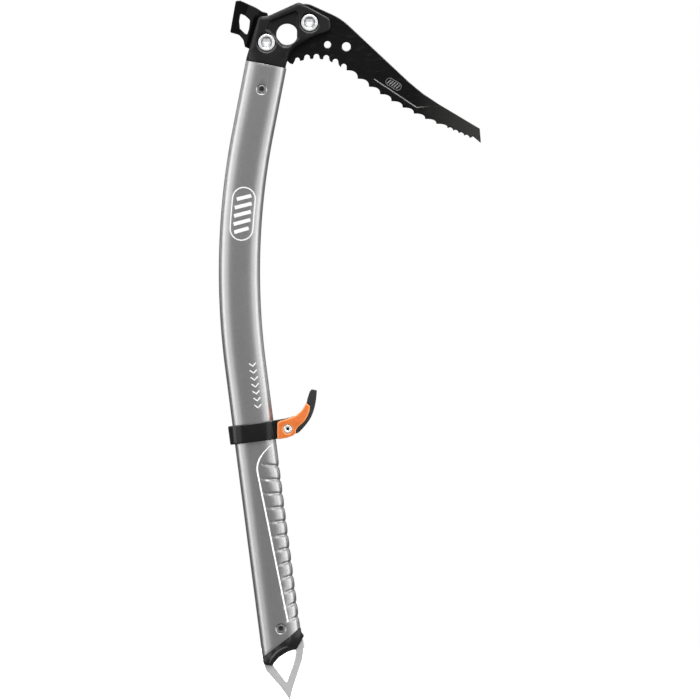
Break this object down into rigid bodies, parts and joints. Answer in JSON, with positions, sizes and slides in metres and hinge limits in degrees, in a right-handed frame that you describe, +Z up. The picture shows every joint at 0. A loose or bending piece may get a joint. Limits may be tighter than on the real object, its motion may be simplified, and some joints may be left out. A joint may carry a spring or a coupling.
{
  "type": "ice axe",
  "caption": "Bent-shaft technical ice axe: toothed pick and hammer bolted to a forged head, riveted spike, sliding hand rest locked by a cam lever.",
  "frame": {"origin": "centre of the carabiner eye through the head, on the tool's middle plane", "axes": "+Z up along the tool's length towards the head, +X from the shaft towards the pick, Y through the thickness"},
  "size_m": [0.1955, 0.025, 0.5216],
  "materials": {
    "shaft_aluminium": "bead-blasted and anodised grey",
    "coated_steel": "satin black coating",
    "forged_steel": "gloss black coating",
    "plated_steel": "bright plated, turned",
    "rivet_steel": "plain steel, dulled",
    "spike_steel": "satin, cut from sheet",
    "moulded_plastic": "fine moulded texture",
    "rubber_lining": "matt",
    "orange_plastic": "satin moulding",
    "soft_grip": "matt soft-touch moulding",
    "bearing_brass": "plain turned"
  },
  "bodies": {
    "axe": {"shaft": "shaft_aluminium", "head_body": "coated_steel", "pick": "coated_steel", "hammer": "forged_steel", "front_head_bolt": "plated_steel", "rear_head_bolt": "plated_steel", "front_head_nut": "plated_steel", "rear_head_nut": "plated_steel", "head_rivet": "rivet_steel", "spike_rivet": "rivet_steel", "spike": "spike_steel", "spike_ferrule": "moulded_plastic"},
    "rest_slider": {"rest_band": "moulded_plastic", "rest_liner": "rubber_lining", "rest_bush": "bearing_brass"},
    "rest_clamp_lever": {"rest_lever": "orange_plastic", "rest_lever_grip": "soft_grip", "rest_cam": "plated_steel", "rest_screw": "plated_steel", "rest_nut": "plated_steel"},
    "rest_clamp_shoe": {"rest_shoe": "rubber_lining"}
  },
  "joints": [
    {"name": "rest_slide", "type": "slide", "parent": "axe", "child": "rest_slider", "axis": [-0.1284, 0, 0.9917], "range_m": [-0.125, 0.04]},
    {"name": "lever_pivot", "type": "hinge", "parent": "rest_slider", "child": "rest_clamp_lever", "pos_m": [0.0005, 0, -0.2944], "axis": [0, -1, 0], "range_deg": [0, 50]},
    {"name": "shoe_travel", "type": "slide", "parent": "rest_slider", "child": "rest_clamp_shoe", "axis": [1, 0, 0], "range_m": [0, 0.00033]}
  ],
  "couplings": [
    {"joint": "shoe_travel", "follows": "lever_pivot", "m_per_rad": 0.000366}
  ]
}
